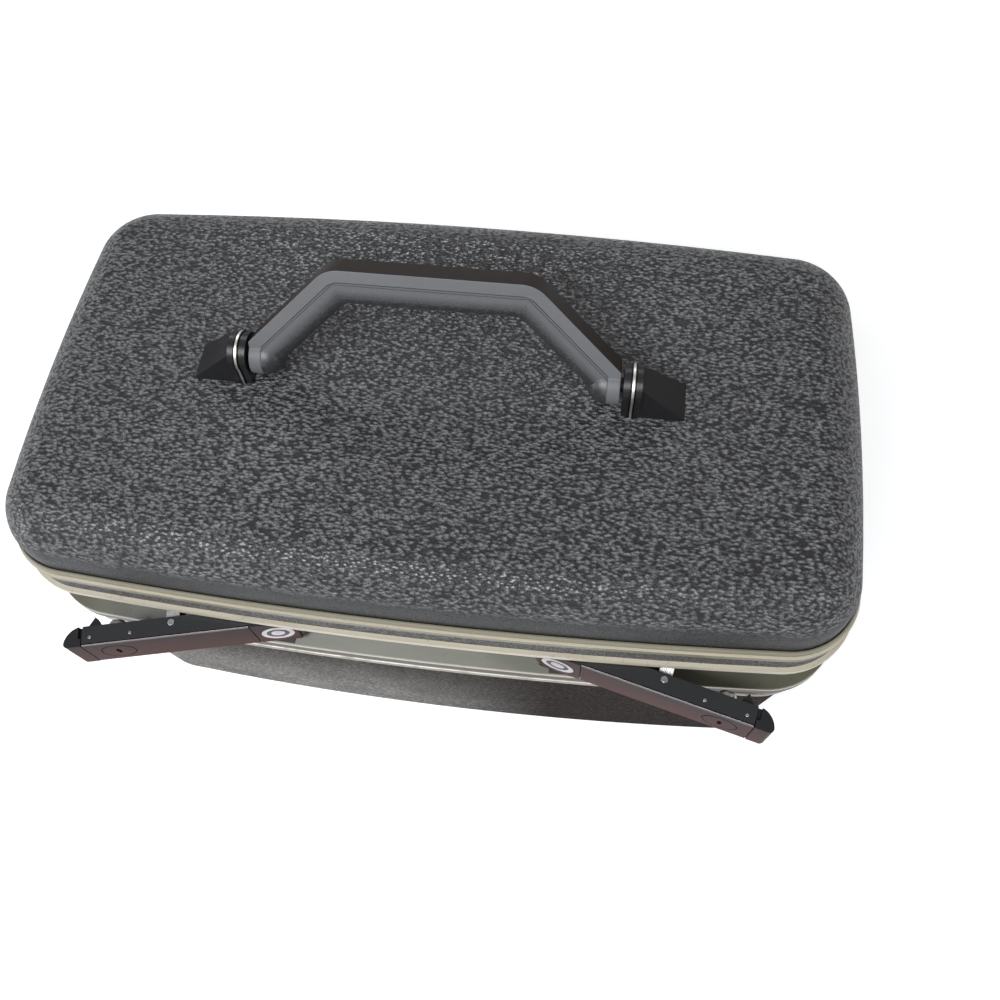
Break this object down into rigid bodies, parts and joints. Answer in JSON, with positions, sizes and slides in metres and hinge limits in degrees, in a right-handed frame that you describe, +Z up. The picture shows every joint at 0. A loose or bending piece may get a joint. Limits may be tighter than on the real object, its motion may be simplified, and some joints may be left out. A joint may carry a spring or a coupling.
{
  "type": "cosmetic train case",
  "caption": "Hard-shell cosmetic case with a hinged lid, folding carry handle, swinging lever latches, lid mirror and lift-out tray.",
  "frame": {"origin": "centre of the case's plan, on its flat underside", "axes": "+X along the length to the right, +Y to the hinges at the back, +Z up; the latches face -Y"},
  "size_m": [0.3854, 0.2342, 0.2571],
  "materials": {
    "abs_grain": "fine leather grain",
    "bead": "satin",
    "bracket": "satin",
    "chrome": "polished",
    "cover_gloss": "gloss",
    "frame_beige": "satin paint",
    "grip": "fine grain",
    "handle_grey": "fine grain",
    "hinge": "satin paint",
    "housing_black": "smooth",
    "inlay": "satin",
    "lever_black": "satin",
    "lining": "padded cloth",
    "mirror": "polished",
    "mirror_rim": "gloss",
    "steel": "satin",
    "strip_black": "textured",
    "tray": "smooth"
  },
  "bodies": {
    "base": {"base_shell": "abs_grain", "base_frame": "frame_beige", "base_bead": "bead", "base_lining": "lining", "base_hinge_leaves": "hinge", "base_hinge_rivets": "steel", "hinge_pins": "steel", "latch_housing_right": "housing_black", "latch_housing_left": "housing_black", "latch_pivot_pins": "steel", "tray_ledges": "tray"},
    "lid": {"lid_shell": "abs_grain", "lid_frame": "frame_beige", "lid_strip": "strip_black", "lid_lining": "lining", "mirror_frame": "mirror_rim", "mirror_glass": "mirror", "lid_hinge_leaves": "hinge", "lid_hinge_rivets": "steel", "handle_bracket_right": "bracket", "handle_bracket_left": "bracket", "bracket_ring_right": "chrome", "bracket_ring_left": "chrome", "handle_pins": "steel", "bracket_plates": "steel", "bracket_screws": "steel", "latch_keeper_right": "steel", "latch_keeper_left": "steel"},
    "handle": {"handle_shell": "handle_grey", "handle_grip": "grip"},
    "tray": {"tray": "tray"},
    "lever_right": {"lever_right": "lever_black", "lever_cover_right": "cover_gloss", "lever_panel_right": "cover_gloss", "panel_inlay_right": "inlay", "lever_pins_right": "steel", "link_rivet_right": "steel", "lock_plate_right": "steel"},
    "link_right": {"latch_link_right": "steel"},
    "lock_right": {"lock_cylinder_right": "chrome"},
    "cap_right": {"release_cap_right": "cover_gloss"},
    "lever_left": {"lever_left": "lever_black", "lever_cover_left": "cover_gloss", "lever_panel_left": "cover_gloss", "panel_inlay_left": "inlay", "lever_pins_left": "steel", "link_rivet_left": "steel", "lock_plate_left": "steel"},
    "link_left": {"latch_link_left": "steel"},
    "lock_left": {"lock_cylinder_left": "chrome"},
    "cap_left": {"release_cap_left": "cover_gloss"}
  },
  "joints": [
    {"name": "lid_hinge", "type": "hinge", "parent": "base", "child": "lid", "pos_m": [0, 0.10755, 0.1539], "axis": [-1, 0, 0], "range_deg": [0, 95]},
    {"name": "handle_swing", "type": "hinge", "parent": "lid", "child": "handle", "pos_m": [0, 0, 0.2134], "axis": [1, 0, 0], "range_deg": [-60, 115]},
    {"name": "tray_lift", "type": "slide", "parent": "base", "child": "tray", "axis": [0, 0, 1], "range_m": [0, 0.06]},
    {"name": "lever_swing_right", "type": "hinge", "parent": "base", "child": "lever_right", "pos_m": [0.0695, -0.09744, 0.1375], "axis": [0, 0, 1], "range_deg": [0, 15.86]},
    {"name": "link_swing_right", "type": "hinge", "parent": "lever_right", "child": "link_right", "pos_m": [0.11099, -0.10666, 0.1375], "axis": [0, 0, 1], "range_deg": [-72, 0]},
    {"name": "lock_turn_right", "type": "hinge", "parent": "lever_right", "child": "lock_right", "pos_m": [0.13765, -0.11343, 0.1375], "axis": [-0.2284, -0.9736, 0], "range_deg": [0, 90]},
    {"name": "cap_slide_right", "type": "slide", "parent": "lever_right", "child": "cap_right", "axis": [0.9736, -0.2284, 0], "range_m": [0, 0.0025], "stiffness_N_per_m": 300, "springref_m": -0.001},
    {"name": "lever_swing_left", "type": "hinge", "parent": "base", "child": "lever_left", "pos_m": [-0.0695, -0.09744, 0.1375], "axis": [0, 0, -1], "range_deg": [0, 15.86]},
    {"name": "link_swing_left", "type": "hinge", "parent": "lever_left", "child": "link_left", "pos_m": [-0.11099, -0.10666, 0.1375], "axis": [0, 0, -1], "range_deg": [-72, 0]},
    {"name": "lock_turn_left", "type": "hinge", "parent": "lever_left", "child": "lock_left", "pos_m": [-0.13765, -0.11343, 0.1375], "axis": [0.2284, -0.9736, 0], "range_deg": [0, 90]},
    {"name": "cap_slide_left", "type": "slide", "parent": "lever_left", "child": "cap_left", "axis": [-0.9736, -0.2284, 0], "range_m": [0, 0.0025], "stiffness_N_per_m": 300, "springref_m": -0.001}
  ],
  "couplings": [
    {"joint": "link_swing_right", "follows": "lever_swing_right", "ratio": -4.5309},
    {"joint": "link_swing_left", "follows": "lever_swing_left", "ratio": -4.5309}
  ]
}
